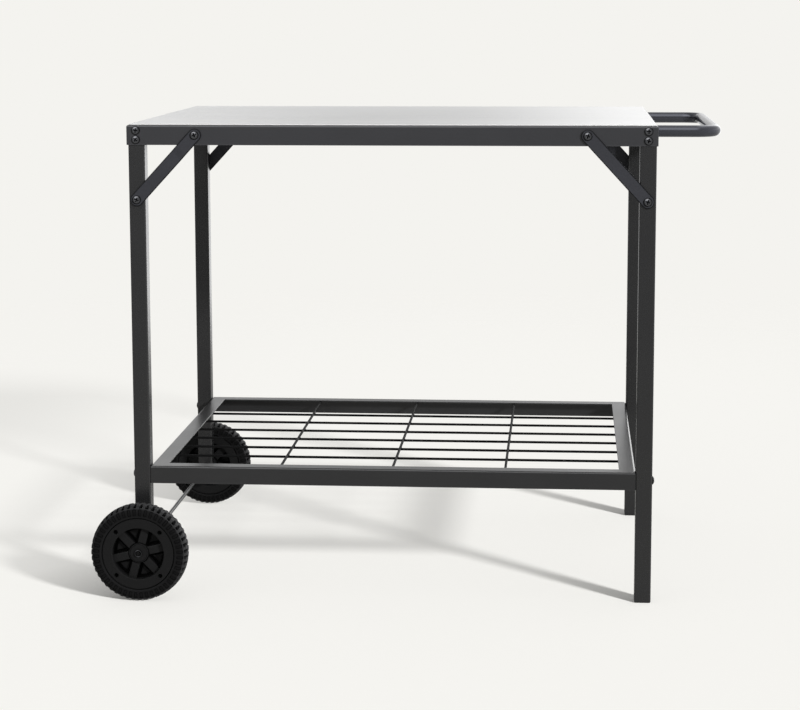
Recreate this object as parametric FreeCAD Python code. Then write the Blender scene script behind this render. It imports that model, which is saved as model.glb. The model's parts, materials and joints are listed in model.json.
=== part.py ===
import FreeCAD, Part
import math
import os

Vector = FreeCAD.Vector

# Griddle cart, in millimetres. X runs along the cart towards the push handle, Y from the front to
# the rear, Z up from the floor. The origin is on the floor, under the middle of the whole cart.

# Worktop: a stainless sheet on a frame of folded aprons
top_length = 800.0
top_depth = 600.0
top_height = 730.0
plate_sheet = 1.5
plate_inset = 3.0
plate_corner_radius = 3.0
plate_edge_radius = 0.5
apron_height = 30.0
apron_flange = 20.0
apron_sheet = 2.0
apron_inner_radius = 1.0

# Stiffening channels under the sheet
stiffener_width = 30.0
stiffener_height = 15.0
stiffener_sheet = 1.5
stiffener_spacing = 260.0

# Weld studs that hold the sheet down on the apron flanges
stud_diameter = 5.0
stud_tip = 2.0
stud_nut_across = 8.0
stud_nut_thickness = 4.0
stud_spacing_long = 200.0
stud_spacing_short = 300.0

# Legs, square tube
tube_size = 25.0
tube_wall = 1.5
tube_inner_radius = 1.0
leg_end_clearance = 0.5
leg_below_axle = 22.0
plug_head = 3.0
plug_depth = 14.0
plug_chamfer = 1.0
plug_clearance = 0.1

# Corner braces, flat bar with a joggle from the apron down to the leg
brace_width = 20.0
brace_thickness = 3.0
brace_run = 90.0
brace_drop = 98.0
joggle_margin = 1.0
joggle_length = 10.0

# Shelf: a frame of folded angle with a grid of round wire under its flanges
shelf_top = 203.0
shelf_height = 27.0
shelf_flange = 25.0
shelf_sheet = 2.0
shelf_inner_radius = 1.0
wire_diameter = 4.0
wire_seat_gap = 0.05
long_wire_count = 6
long_wire_pitch = 71.0
cross_wire_count = 3

# Push handle, a bent round tube
handle_reach = 100.0
handle_span = 410.0
handle_diameter = 18.0
handle_wall = 1.5
handle_bend_radius = 30.0
handle_below_top = 14.0
insert_length = 15.0

# Fasteners
bolt_diameter = 6.0
bolt_head_diameter = 13.0
bolt_head_height = 3.6
bolt_head_rim = 1.2
bolt_length = 12.0
bolt_tip = 1.5
recess_length = 6.6
recess_width = 1.5
recess_depth = 1.9
corner_bolt_spacing = 14.0
nut_across = 10.0
nut_thickness = 5.0
hole_clearance = 0.2
thread_clearance = 0.05

# Wheels and axle
wheel_diameter = 150.0
tyre_width = 40.0
tyre_bore_diameter = 112.0
tyre_side_diameter = 132.0
tyre_clearance = 8.0
crown_width = 32.0
crown_drop = 2.0
tread_depth = 4.0
lug_count = 48
lug_share = 0.62
rim_fit_gap = 0.05
rim_inset = 1.5
rim_wall = 3.0
rim_disc = 4.0
window_diameter = 80.0
spoke_count = 6
spoke_width = 12.0
spoke_recess = 7.5
spoke_angle = 14.0
web_thickness = 3.0
hub_diameter = 29.0
hub_recess = 7.0
rim_hole_count = 4
rim_hole_diameter = 6.4
rim_hole_circle = 96.0
rim_hole_angle = 45.0
axle_diameter = 6.0
axle_chamfer = 0.5
axle_proud = 0.5
bearing_clearance = 0.05
running_gap = 0.3
washer_diameter = 18.0
washer_thickness = 1.5
retainer_diameter = 11.0
retainer_height = 3.0

# Levels
apron_top = top_height - plate_sheet
apron_middle = apron_top - apron_height / 2
leg_top = apron_top - apron_sheet - apron_inner_radius - leg_end_clearance
axle_height = wheel_diameter / 2
left_leg_bottom = axle_height - leg_below_axle
shelf_bolt_height = shelf_top - shelf_height / 2
handle_height = top_height - handle_below_top

# Places in plan, measured from the middle of the worktop
leg_x = top_length / 2 - apron_sheet - tube_size / 2
leg_y = top_depth / 2 - apron_sheet - tube_size / 2
leg_face_y = leg_y + tube_size / 2
shelf_length = 2 * leg_x - tube_size
shelf_depth = 2 * leg_face_y
tyre_middle = leg_face_y + tyre_clearance + tyre_width / 2
hub_front = tyre_width / 2 - hub_recess
hub_back = leg_face_y + washer_thickness + running_gap - tyre_middle

# The worktop's middle stands off the cart's middle, since the wheels and the handle reach past it
left_reach = max(top_length / 2, leg_x + wheel_diameter / 2)
right_reach = top_length / 2 + handle_reach
top_middle = Vector((left_reach - right_reach) / 2, 0, 0)

bolt_hole_radius = bolt_diameter / 2 + hole_clearance
thread_radius = bolt_diameter / 2 + thread_clearance
along_x = Vector(1, 0, 0)
along_y = Vector(0, 1, 0)
up = Vector(0, 0, 1)
origin = Vector(0, 0, 0)

nodes = {}


def closed_face(start, moves):
    # A move is a point to run straight to, or a pair for an arc: a point on it and its end
    edges = []
    here = start
    for move in moves + [start]:
        if isinstance(move, tuple):
            edges.append(Part.Arc(here, move[0], move[1]).toShape())
            here = move[1]
        elif here.distanceToPoint(move) > 1e-6:
            edges.append(Part.LineSegment(here, move).toShape())
            here = move
    return Part.Face(Part.Wire(edges))


def rod(radius, length, start, direction):
    return Part.makeCylinder(radius, length, start, direction)


def ring(inner_radius, outer_radius, low, high):
    outside = rod(outer_radius, high - low, Vector(0, 0, low), up)
    return outside.cut(rod(inner_radius, high - low, Vector(0, 0, low), up))


def seat(shape, point, direction):
    # Turns a shape that was made along Z to the given direction and sets it at the point
    placed = shape.copy()
    placed.Placement = FreeCAD.Placement(point, FreeCAD.Rotation(up, direction))
    return placed


def rounded_bar(size, corner_radius, low, high):
    bar = Part.makeBox(size, size, high - low, Vector(-size / 2, -size / 2, low))
    upright = [edge for edge in bar.Edges if abs(edge.tangentAt(edge.FirstParameter).z) > 0.5]
    return bar.makeFillet(corner_radius, upright)


def folded_angle(length, across, top, height, flange, sheet, inner_radius):
    # The front side of a frame: an upright leaf, a bend and a level flange, mitred at both ends
    outer_radius = inner_radius + sheet
    face = -across / 2
    bend = Vector(-length / 2, face + outer_radius, top - outer_radius)
    slant = Vector(0, -math.sqrt(0.5), math.sqrt(0.5))

    def at(depth, drop):
        return Vector(-length / 2, face + depth, top - drop)

    section = closed_face(at(0, height), [
        at(0, outer_radius),
        (bend + slant * outer_radius, at(outer_radius, 0)),
        at(flange, 0),
        at(flange, sheet),
        at(outer_radius, sheet),
        (bend + slant * inner_radius, at(sheet, outer_radius)),
        at(sheet, height),
    ])
    plan = closed_face(Vector(-length / 2, face, top - height), [
        Vector(length / 2, face, top - height),
        Vector(length / 2 - flange, face + flange, top - height),
        Vector(-length / 2 + flange, face + flange, top - height),
    ])
    return section.extrude(Vector(length, 0, 0)).common(plan.extrude(Vector(0, 0, height)))


def angle_frame(length, depth, top, height, flange, sheet, inner_radius):
    # Four mitred sides, each the front side turned about the upright axis
    sides = {}
    for name, long_side, across, turn in (
        ("front", length, depth, 0),
        ("right", depth, length, 90),
        ("rear", length, depth, 180),
        ("left", depth, length, 270),
    ):
        side = folded_angle(long_side, across, top, height, flange, sheet, inner_radius)
        side.rotate(origin, up, turn)
        sides[name] = side
    return sides


def pan_bolt(length):
    # The head stands up from Z = 0 with a cross recess, the shank runs down
    shank = bolt_diameter / 2
    head = bolt_head_diameter / 2
    dome = bolt_head_height - bolt_head_rim
    dome_radius = (head ** 2 + dome ** 2) / (2 * dome)
    half_turn = math.asin(head / dome_radius) / 2
    dome_side = dome_radius * math.sin(half_turn)
    dome_level = bolt_head_height - dome_radius * (1 - math.cos(half_turn))
    section = closed_face(Vector(0, 0, -length), [
        Vector(shank, 0, -length),
        Vector(shank, 0, 0),
        Vector(head, 0, 0),
        Vector(head, 0, bolt_head_rim),
        (Vector(dome_side, 0, dome_level), Vector(0, 0, bolt_head_height)),
    ])
    bolt = section.revolve(origin, up, 360)
    for slot_x, slot_y in ((recess_length, recess_width), (recess_width, recess_length)):
        corner = Vector(-slot_x / 2, -slot_y / 2, bolt_head_height - recess_depth)
        bolt = bolt.cut(Part.makeBox(slot_x, slot_y, bolt_head_height, corner))
    return bolt


def square_nut():
    # Seated face at Z = 0, body below it
    nut = Part.makeBox(nut_across, nut_across, nut_thickness,
                       Vector(-nut_across / 2, -nut_across / 2, -nut_thickness))
    return nut.cut(rod(thread_radius, nut_thickness, Vector(0, 0, -nut_thickness), up))


def hex_nut(across, thickness, bore_radius):
    corner = across / math.sqrt(3)
    points = [Vector(corner * math.cos(math.radians(60 * i)), corner * math.sin(math.radians(60 * i)),
                     -thickness) for i in range(6)]
    nut = closed_face(points[0], points[1:]).extrude(Vector(0, 0, thickness))
    return nut.cut(rod(bore_radius, thickness, Vector(0, 0, -thickness), up))


# Worktop frame
aprons = angle_frame(top_length, top_depth, apron_top, apron_height, apron_flange, apron_sheet,
                     apron_inner_radius)

# Worktop sheet
plate_length = top_length - 2 * plate_inset
plate_depth = top_depth - 2 * plate_inset
plate = Part.makeBox(plate_length, plate_depth, plate_sheet,
                     Vector(-plate_length / 2, -plate_depth / 2, apron_top))
upright_edges = [edge for edge in plate.Edges if abs(edge.tangentAt(edge.FirstParameter).z) > 0.5]
plate = plate.makeFillet(plate_corner_radius, upright_edges)
rim_edges = [edge for edge in plate.Edges if edge.BoundBox.ZMin > top_height - plate_sheet / 2]
nodes["worktop_plate"] = plate.makeFillet(plate_edge_radius, rim_edges)

# Studs welded under the sheet, through the flanges, with a nut under each
stud_line = (apron_flange + apron_sheet) / 2
stud_places = []
for sign in (-1, 1):
    for step in (-1, 0, 1):
        stud_places.append(Vector(step * stud_spacing_long, sign * (top_depth / 2 - stud_line), apron_top))
    for step in (-0.5, 0.5):
        stud_places.append(Vector(sign * (top_length / 2 - stud_line), step * stud_spacing_short, apron_top))
stud_length = apron_sheet + stud_nut_thickness + stud_tip
stud_nut = hex_nut(stud_nut_across, stud_nut_thickness, stud_diameter / 2 + thread_clearance)
studs = []
stud_nuts = []
for place in stud_places:
    studs.append(rod(stud_diameter / 2, stud_length, place, -up))
    stud_nuts.append(seat(stud_nut, place - up * apron_sheet, up))
    stud_hole = rod(stud_diameter / 2 + hole_clearance, apron_height, place, -up)
    for name in aprons:
        aprons[name] = aprons[name].cut(stud_hole)
nodes["worktop_studs"] = Part.makeCompound(studs)
nodes["worktop_nuts"] = Part.makeCompound(stud_nuts)

# Stiffening channels, open downwards, from flange to flange
stiffener_length = top_depth - 2 * apron_flange
for name, sign in (("left_stiffener", -1), ("right_stiffener", 1)):
    corner = Vector(sign * stiffener_spacing / 2 - stiffener_width / 2, -stiffener_length / 2,
                    apron_top - stiffener_height)
    channel = Part.makeBox(stiffener_width, stiffener_length, stiffener_height, corner)
    hollow = Part.makeBox(stiffener_width - 2 * stiffener_sheet, stiffener_length,
                          stiffener_height - stiffener_sheet, corner + along_x * stiffener_sheet)
    nodes[name] = channel.cut(hollow)

# Shelf frame and its wires
shelf_sides = angle_frame(shelf_length, shelf_depth, shelf_top, shelf_height, shelf_flange, shelf_sheet,
                          shelf_inner_radius)
cross_wire_height = shelf_top - shelf_sheet - wire_diameter / 2 - wire_seat_gap
long_wire_height = cross_wire_height - wire_diameter - wire_seat_gap
long_wire_length = shelf_length - 2 * shelf_sheet
cross_wire_length = shelf_depth - 2 * (shelf_sheet + shelf_inner_radius)
long_wires = []
for i in range(long_wire_count):
    place_y = (i - (long_wire_count - 1) / 2) * long_wire_pitch
    start = Vector(-long_wire_length / 2, place_y, long_wire_height)
    long_wires.append(rod(wire_diameter / 2, long_wire_length, start, along_x))
nodes["shelf_long_wires"] = Part.makeCompound(long_wires)
cross_wire_pitch = (shelf_length - 2 * shelf_flange) / (cross_wire_count + 1)
cross_wires = []
for i in range(cross_wire_count):
    place_x = (i - (cross_wire_count - 1) / 2) * cross_wire_pitch
    start = Vector(place_x, -cross_wire_length / 2, cross_wire_height)
    cross_wires.append(rod(wire_diameter / 2, cross_wire_length, start, along_y))
nodes["shelf_cross_wires"] = Part.makeCompound(cross_wires)


def leg_tube(bottom):
    outside = rounded_bar(tube_size, tube_inner_radius + tube_wall, bottom, leg_top)
    return outside.cut(rounded_bar(tube_size - 2 * tube_wall, tube_inner_radius, bottom, leg_top))


def leg_plug(leg_bottom):
    # A head of the tube's own section under its end, and a shank pushed up inside
    head = rounded_bar(tube_size, tube_inner_radius + tube_wall, leg_bottom - plug_head, leg_bottom)
    floor_edges = [edge for edge in head.Edges if edge.BoundBox.ZMax < leg_bottom - plug_head / 2]
    head = head.makeChamfer(plug_chamfer, floor_edges)
    shank_size = tube_size - 2 * tube_wall - 2 * plug_clearance
    return head.fuse(rounded_bar(shank_size, tube_inner_radius, leg_bottom, leg_bottom + plug_depth))


def corner_brace(x_sign, y_sign):
    # Made along X from its upper hole, then turned down towards the leg
    length = math.hypot(brace_run, brace_drop)
    end_radius = brace_width / 2
    edge_rise = end_radius * brace_run / length
    joggle_start = (apron_height / 2 + joggle_margin + edge_rise) * length / brace_drop
    joggle_end = joggle_start + joggle_length

    def at(along, out):
        return Vector(along, y_sign * out, -end_radius)

    section = closed_face(at(-end_radius, 0), [
        at(joggle_start, 0),
        at(joggle_end, -apron_sheet),
        at(length + end_radius, -apron_sheet),
        at(length + end_radius, brace_thickness - apron_sheet),
        at(joggle_end, brace_thickness - apron_sheet),
        at(joggle_start, brace_thickness),
        at(-end_radius, brace_thickness),
    ])
    reach = apron_sheet + brace_thickness
    outline = closed_face(Vector(0, -reach, -end_radius), [
        Vector(length, -reach, -end_radius),
        (Vector(length + end_radius, -reach, 0), Vector(length, -reach, end_radius)),
        Vector(0, -reach, end_radius),
        (Vector(-end_radius, -reach, 0), Vector(0, -reach, -end_radius)),
    ])
    brace = section.extrude(Vector(0, 0, brace_width)).common(outline.extrude(Vector(0, 2 * reach, 0)))
    for along in (0, length):
        brace = brace.cut(rod(bolt_hole_radius, 2 * reach, Vector(along, -reach, 0), along_y))
    brace.rotate(origin, along_y, math.degrees(math.atan2(brace_drop, x_sign * brace_run)))
    brace.translate(Vector(x_sign * (leg_x - brace_run), y_sign * top_depth / 2, apron_middle))
    return brace


# The four corners: leg, plug, brace and their fasteners
frame_bolt = pan_bolt(bolt_length)
shelf_bolt = pan_bolt(tube_size + shelf_sheet + nut_thickness + bolt_tip)
nut = square_nut()
weld_nuts = []
shelf_nuts = []
for row, y_sign in (("front", -1), ("rear", 1)):
    for side, x_sign in (("left", -1), ("right", 1)):
        corner = row + "_" + side
        outward = along_y * y_sign
        sideways = along_x * x_sign
        leg_middle = Vector(x_sign * leg_x, y_sign * leg_y, 0)
        leg_front = leg_middle + outward * (tube_size / 2)
        leg_bottom = left_leg_bottom if side == "left" else plug_head
        leg = leg_tube(leg_bottom)
        leg.translate(leg_middle)
        plug = leg_plug(leg_bottom)
        plug.translate(leg_middle)
        nodes[corner + ("_leg_plug" if side == "left" else "_foot")] = plug
        nodes[corner + "_brace"] = corner_brace(x_sign, y_sign)

        # Two bolts through the apron into the leg, and the brace's own two
        bolts = []
        for sign in (-1, 1):
            level = up * (apron_middle + sign * corner_bolt_spacing / 2)
            bolts.append(seat(frame_bolt, leg_front + outward * apron_sheet + level, outward))
            weld_nuts.append(seat(nut, leg_front - outward * tube_wall + level, outward))
            hole = rod(bolt_hole_radius, tube_size / 2 + apron_sheet, leg_middle + level, outward)
            leg = leg.cut(hole)
            aprons[row] = aprons[row].cut(hole)
        low_place = leg_front + up * (apron_middle - brace_drop)
        bolts.append(seat(frame_bolt, low_place + outward * brace_thickness, outward))
        weld_nuts.append(seat(nut, low_place - outward * tube_wall, outward))
        leg = leg.cut(rod(bolt_hole_radius, tube_size / 2, low_place, -outward))
        high_place = Vector(x_sign * (leg_x - brace_run), y_sign * top_depth / 2, apron_middle)
        bolts.append(seat(frame_bolt, high_place + outward * brace_thickness, outward))
        weld_nuts.append(seat(nut, high_place - outward * apron_sheet, outward))
        aprons[row] = aprons[row].cut(rod(bolt_hole_radius, apron_flange, high_place, -outward))
        nodes[corner + "_bolts"] = Part.makeCompound(bolts)

        # One bolt sideways through the leg into the shelf's end
        shelf_place = leg_middle + sideways * (tube_size / 2) + up * shelf_bolt_height
        nodes[corner + "_shelf_bolt"] = seat(shelf_bolt, shelf_place, sideways)
        shelf_nuts.append(seat(nut, shelf_place - sideways * (tube_size + shelf_sheet), sideways))
        hole = rod(bolt_hole_radius, tube_size + shelf_flange, shelf_place, -sideways)
        leg = leg.cut(hole)
        shelf_sides[side] = shelf_sides[side].cut(hole)

        if side == "left":
            axle_place = leg_middle + up * axle_height - outward * tube_size
            axle_hole = rod(axle_diameter / 2 + hole_clearance, 2 * tube_size, axle_place, outward)
            leg = leg.cut(axle_hole)
        nodes[corner + "_leg"] = leg
nodes["weld_nuts"] = Part.makeCompound(weld_nuts)
nodes["shelf_nuts"] = Part.makeCompound(shelf_nuts)

# Push handle: two arms, two bends and a crossbar, with a threaded insert in each end
bar_x = top_length / 2 + handle_reach - handle_diameter / 2
arm_y = handle_span / 2
bend_x = bar_x - handle_bend_radius
bend_y = arm_y - handle_bend_radius
bend_middle = handle_bend_radius * math.sqrt(0.5)


def handle_point(x, y):
    return Vector(x, y, handle_height)


def handle_solid(radius):
    start = handle_point(top_length / 2, -arm_y)
    path = Part.Wire([
        Part.LineSegment(start, handle_point(bend_x, -arm_y)).toShape(),
        Part.Arc(handle_point(bend_x, -arm_y),
                 handle_point(bend_x + bend_middle, -bend_y - bend_middle),
                 handle_point(bar_x, -bend_y)).toShape(),
        Part.LineSegment(handle_point(bar_x, -bend_y), handle_point(bar_x, bend_y)).toShape(),
        Part.Arc(handle_point(bar_x, bend_y),
                 handle_point(bend_x + bend_middle, bend_y + bend_middle),
                 handle_point(bend_x, arm_y)).toShape(),
        Part.LineSegment(handle_point(bend_x, arm_y), handle_point(top_length / 2, arm_y)).toShape(),
    ])
    section = Part.Wire([Part.makeCircle(radius, start, along_x)])
    return path.makePipeShell([section], True, False)


handle_bore_radius = handle_diameter / 2 - handle_wall
nodes["handle"] = handle_solid(handle_diameter / 2).cut(handle_solid(handle_bore_radius))
handle_bolt = pan_bolt(apron_sheet + insert_length - bolt_tip)
inserts = []
handle_bolts = []
for sign in (-1, 1):
    root = handle_point(top_length / 2, sign * arm_y)
    insert = rod(handle_bore_radius - thread_clearance, insert_length, root, along_x)
    inserts.append(insert.cut(rod(thread_radius, insert_length, root, along_x)))
    handle_bolts.append(seat(handle_bolt, root - along_x * apron_sheet, -along_x))
    aprons["right"] = aprons["right"].cut(rod(bolt_hole_radius, 2 * apron_sheet, root, -along_x))
nodes["handle_inserts"] = Part.makeCompound(inserts)
nodes["handle_bolts"] = Part.makeCompound(handle_bolts)

for side in aprons:
    nodes[side + "_apron"] = aprons[side]
    nodes["shelf_" + side + "_rail"] = shelf_sides[side]


def tread_half(half_step):
    # A toothed disc, half a tyre thick, whose gaps are the tread's grooves
    tip = wheel_diameter / 2 + tread_depth
    root = wheel_diameter / 2 - tread_depth
    pitch = 360 / lug_count
    half_lug = lug_share * pitch / 2

    def at(radius, angle):
        return Vector(radius * math.cos(math.radians(angle)), radius * math.sin(math.radians(angle)), 0)

    first = half_step * pitch - half_lug
    moves = []
    for i in range(lug_count):
        middle = (i + half_step) * pitch
        moves.append((at(tip, middle), at(tip, middle + half_lug)))
        moves.append(at(root, middle + half_lug))
        moves.append((at(root, middle + pitch / 2), at(root, middle + pitch - half_lug)))
        moves.append(at(tip, middle + pitch - half_lug))
    return closed_face(at(tip, first), moves).extrude(Vector(0, 0, tyre_width / 2))


def tyre():
    # Flat sides, sloping shoulders and a crowned tread, with two rows of lugs in step by halves
    outer = wheel_diameter / 2
    bore = tyre_bore_diameter / 2
    side = tyre_side_diameter / 2
    half = tyre_width / 2
    crown = crown_width / 2
    section = closed_face(Vector(bore, 0, -half), [
        Vector(side, 0, -half),
        Vector(outer - crown_drop, 0, -crown),
        (Vector(outer, 0, 0), Vector(outer - crown_drop, 0, crown)),
        Vector(side, 0, half),
        Vector(bore, 0, half),
    ])
    blank = section.revolve(origin, up, 360)
    outer_row = blank.common(tread_half(0))
    inner_row = tread_half(0.5)
    inner_row.translate(Vector(0, 0, -half))
    return outer_row.fuse(blank.common(inner_row)).removeSplitter()


def rim():
    # A drum with a ring disc, blind windows and spokes on both sides of a middle web, and a hub
    outer = tyre_bore_diameter / 2 - rim_fit_gap
    window = window_diameter / 2
    side = tyre_width / 2 - rim_inset
    spoke_face = side - spoke_recess
    hub = hub_diameter / 2
    pieces = [
        ring(window, outer, side - rim_disc, side),
        ring(window, outer, -side, rim_disc - side),
        ring(window, window + rim_wall, -side, side),
        ring(hub / 2, window + rim_wall, -web_thickness / 2, web_thickness / 2),
        rod(hub, hub_front - hub_back, Vector(0, 0, hub_back), up),
    ]
    spoke = Part.makeBox(window + rim_wall / 2, spoke_width, 2 * spoke_face,
                         Vector(0, -spoke_width / 2, -spoke_face))
    for i in range(spoke_count):
        turned = spoke.copy()
        turned.rotate(origin, up, spoke_angle + i * 360 / spoke_count)
        pieces.append(turned)
    body = ring(outer - rim_wall, outer, -side, side).multiFuse(pieces).removeSplitter()
    for i in range(rim_hole_count):
        angle = math.radians(rim_hole_angle + i * 360 / rim_hole_count)
        place = Vector(rim_hole_circle / 2 * math.cos(angle), rim_hole_circle / 2 * math.sin(angle),
                       side - 2 * rim_disc)
        body = body.cut(rod(rim_hole_diameter / 2, 3 * rim_disc, place, up))
    bore_radius = axle_diameter / 2 + bearing_clearance
    return body.cut(rod(bore_radius, 2 * tyre_width, Vector(0, 0, -tyre_width), up))


# Wheels, with a washer behind each and a push-on retainer in front of it
tyre_shape = tyre()
rim_shape = rim()
washer = ring(axle_diameter / 2 + hole_clearance, washer_diameter / 2, 0, washer_thickness)
retainer = ring(axle_diameter / 2 + thread_clearance, retainer_diameter / 2, 0, retainer_height)
retainer_edges = [edge for edge in retainer.Edges if edge.BoundBox.ZMin > retainer_height / 2]
retainer = retainer.makeChamfer(axle_chamfer, retainer_edges)
retainer_y = tyre_middle + hub_front + running_gap
axle_middle = Vector(-leg_x, 0, axle_height)
for row, y_sign in (("front", -1), ("rear", 1)):
    outward = along_y * y_sign
    nodes[row + "_tyre"] = seat(tyre_shape, axle_middle + outward * tyre_middle, outward)
    nodes[row + "_rim"] = seat(rim_shape, axle_middle + outward * tyre_middle, outward)
    nodes[row + "_axle_washer"] = seat(washer, axle_middle + outward * leg_face_y, outward)
    nodes[row + "_axle_retainer"] = seat(retainer, axle_middle + outward * retainer_y, outward)

# Axle rod through both left legs
axle_end = retainer_y + retainer_height + axle_proud
axle = rod(axle_diameter / 2, 2 * axle_end, axle_middle - along_y * axle_end, along_y)
axle_edges = [edge for edge in axle.Edges if edge.BoundBox.YLength < axle_end]
nodes["axle"] = axle.makeChamfer(axle_chamfer, axle_edges)

os.makedirs("parts", exist_ok=True)
for name, shape in nodes.items():
    shape.translate(top_middle)
    shape.exportStep("parts/" + name + ".step")
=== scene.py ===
import bpy
import json
import math
import numpy as np
from mathutils import Matrix, Vector


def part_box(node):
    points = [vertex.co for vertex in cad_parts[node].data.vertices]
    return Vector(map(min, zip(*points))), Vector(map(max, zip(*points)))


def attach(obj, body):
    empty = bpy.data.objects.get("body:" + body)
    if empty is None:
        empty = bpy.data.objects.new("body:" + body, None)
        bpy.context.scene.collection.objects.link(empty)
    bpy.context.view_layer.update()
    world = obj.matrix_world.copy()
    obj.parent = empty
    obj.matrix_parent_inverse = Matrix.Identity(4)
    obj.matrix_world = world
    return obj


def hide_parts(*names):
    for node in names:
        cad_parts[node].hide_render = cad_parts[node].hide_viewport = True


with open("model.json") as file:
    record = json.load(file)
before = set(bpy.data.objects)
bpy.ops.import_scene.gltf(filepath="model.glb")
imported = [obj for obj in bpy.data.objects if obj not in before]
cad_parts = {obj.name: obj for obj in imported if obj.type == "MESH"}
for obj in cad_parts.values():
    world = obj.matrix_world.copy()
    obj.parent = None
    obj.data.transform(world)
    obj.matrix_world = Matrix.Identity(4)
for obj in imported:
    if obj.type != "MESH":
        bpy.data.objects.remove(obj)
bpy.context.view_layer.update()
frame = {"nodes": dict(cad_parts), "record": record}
print("frame loaded,", len(frame["nodes"]), "nodes")


# corners of every quad of a grid of points; a wrapped side joins its last line to its first
def gridQuads(rows, cols, wrapRows=False, wrapCols=True):
    r, c = np.meshgrid(np.arange(rows if wrapRows else rows - 1),
                       np.arange(cols if wrapCols else cols - 1), indexing="ij")
    r2, c2 = (r + 1) % rows, (c + 1) % cols
    return np.stack([r * cols + c, r * cols + c2, r2 * cols + c2, r2 * cols + c], -1).reshape(-1, 4)


# a grid of points as a closed surface, turned outwards by the sign of the volume that it holds;
# edge marks rounded edges for wear and painted highlights (a painted dark outline on the braces),
# paintedShade marks painted shade in recesses, grooves, holes and on cut ends
def surface(grid, edge=0.0, paintedShade=0.0, wrapRows=False):
    rows, cols = grid.shape[:2]
    points, quads = grid.reshape(-1, 3), gridQuads(rows, cols, wrapRows)
    a, b, c, d = (points[quads[:, i]] - points[0] for i in range(4))
    volume = (a * np.cross(b, c)).sum() + (a * np.cross(c, d)).sum()
    marks = [np.broadcast_to(m, (rows, cols)).reshape(-1) for m in (edge, paintedShade)]
    return points, quads if volume > 0 else quads[:, ::-1], marks[0], marks[1]


# one object from closed surfaces: points that coincide are welded, so seams and poles close
def makePiece(name, surfaces, finish, body, nodes, sharp):
    counts = np.cumsum([0] + [len(s[0]) for s in surfaces])
    points = np.concatenate([s[0] for s in surfaces])
    quads = np.concatenate([s[1] + n for s, n in zip(surfaces, counts)])
    _, first, back = np.unique(np.round(points * 1e6).astype(np.int64), axis=0,
                               return_index=True, return_inverse=True)
    quads = back.reshape(-1)[quads]
    kept = quads != np.roll(quads, -1, axis=1)
    sides = kept.sum(1)
    triangles = quads[sides == 3][kept[sides == 3]].reshape(-1, 3)
    quads = quads[sides == 4]
    mesh = bpy.data.meshes.new(name)
    mesh.vertices.add(len(first))
    mesh.vertices.foreach_set("co", points[first].astype(np.float32).ravel())
    mesh.loops.add(quads.size + triangles.size)
    corners = np.concatenate([quads.ravel(), triangles.ravel()])
    mesh.loops.foreach_set("vertex_index", corners.astype(np.int32))
    starts = np.concatenate([np.arange(len(quads)) * 4, quads.size + np.arange(len(triangles)) * 3])
    mesh.polygons.add(len(starts))
    mesh.polygons.foreach_set("loop_start", starts.astype(np.int32))
    mesh.update(calc_edges=True)
    mesh.validate()
    mesh.shade_smooth()
    mesh.set_sharp_from_angle(angle=math.radians(sharp))
    for key, column in (("edge", 2), ("paintedShade", 3)):
        values = np.concatenate([s[column] for s in surfaces])[first]
        mesh.attributes.new(key, "FLOAT", "POINT").data.foreach_set("value", values.astype(np.float32))
    mesh.materials.append(finish)
    piece = bpy.data.objects.new(name, mesh)
    bpy.context.scene.collection.objects.link(piece)
    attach(piece, body)
    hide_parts(*nodes)
    return piece


def smooth(low, high, x):                      # 0 at low, 1 at high, an S between
    t = np.clip((x - low) / (high - low), 0, 1)
    return t * t * (3 - 2 * t)


def boxOf(node):
    return [np.array(corner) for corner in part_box(node)]


flatMargin = 0.0008                             # a flat face stays flat up to this far from its rounded edge


# quarter circles round the four corners of a rectangle, each run out a little on to the flats,
# with the outward normal of each point
def roundedRing(halfX, halfY, radius, steps):
    turn = np.arange(4)[:, None] * np.pi / 2 + np.linspace(0, np.pi / 2, steps + 1)
    normal = np.stack([np.cos(turn), np.sin(turn)], -1)
    tangent = np.stack([-np.sin(turn), np.cos(turn)], -1)
    centre = (np.array([[1, 1], [-1, 1], [-1, -1], [1, -1]]) * (halfX - radius, halfY - radius))[:, None]
    arc = centre + radius * normal
    ring = np.concatenate([arc[:, :1] - flatMargin * tangent[:, :1], arc,
                           arc[:, -1:] + flatMargin * tangent[:, -1:]], 1)
    normal = np.concatenate([normal[:, :1], normal, normal[:, -1:]], 1)
    return ring.reshape(-1, 2), normal.reshape(-1, 2)


# inset, height and edge mark of the rows of a plate whose edges are quarter circles of the two radii
def edgeRows(low, high, lowRadius, highRadius, steps=3):
    turn = np.linspace(0, np.pi / 2, steps + 1)
    under = [(lowRadius * (1 - math.sin(t)), low + lowRadius * (1 - math.cos(t)), 1) for t in turn]
    over = [(highRadius * (1 - math.cos(t)), high - highRadius * (1 - math.sin(t)), 1) for t in turn]
    return [(lowRadius + flatMargin, low, 0)] + under + over + [(highRadius + flatMargin, high, 0)]


# an outline drawn in by each row's inset and raised to its height; both faces close on a spine
def flatPiece(outline, normal, spine, rows):
    flat = np.stack([spine] + [outline - normal * row[0] for row in rows] + [spine])
    heights = np.array([rows[0][1]] + [row[1] for row in rows] + [rows[-1][1]])
    edge = np.array([0] + [row[2] for row in rows] + [0.0])[:, None]
    high = np.broadcast_to(heights[:, None, None], flat.shape[:2] + (1,))
    return np.concatenate([flat, high], -1), edge


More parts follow.
